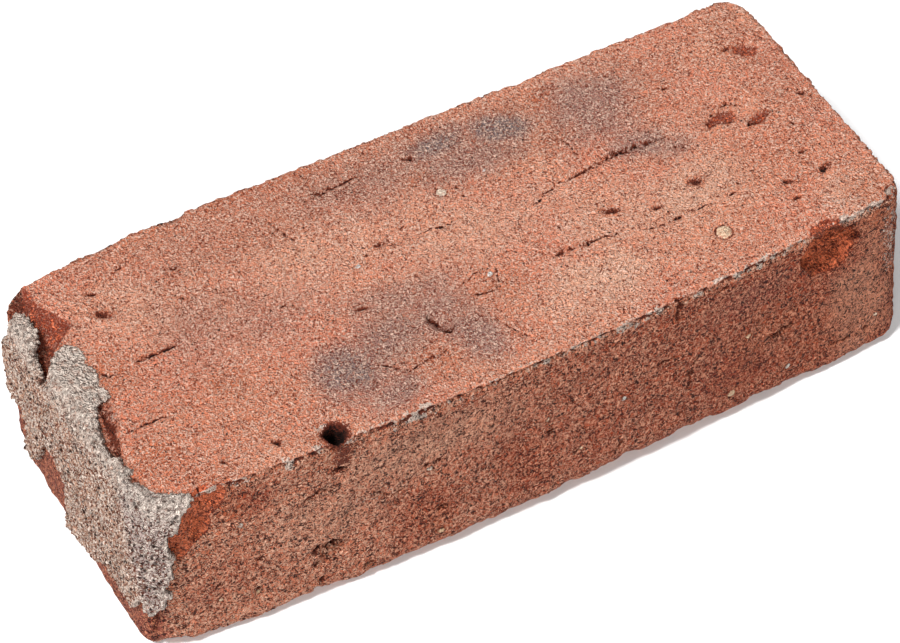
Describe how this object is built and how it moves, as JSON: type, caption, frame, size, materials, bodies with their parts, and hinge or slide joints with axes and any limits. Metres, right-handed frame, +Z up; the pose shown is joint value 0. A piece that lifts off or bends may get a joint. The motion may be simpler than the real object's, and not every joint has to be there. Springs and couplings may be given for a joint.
{
  "type": "clay brick",
  "caption": "Hand-moulded fired clay brick, a worn rectangular block for laid masonry, with a crust of old mortar bonded to one header face.",
  "frame": {"origin": "middle of the lower bed face, under the middle of the part's box, on the plane the brick lies on", "axes": "+X along the brick's length, from the header with the mortar to the bare one; +Y from the bowed stretcher face to the straighter one; +Z up, through the thickness, out of the upper bed face"},
  "size_m": [0.2392, 0.097, 0.061],
  "materials": {
    "fired_clay": "matte",
    "old_mortar": "matte"
  },
  "bodies": {
    "root": {"brick": "fired_clay", "mortar_remnant": "old_mortar"}
  },
  "joints": []
}
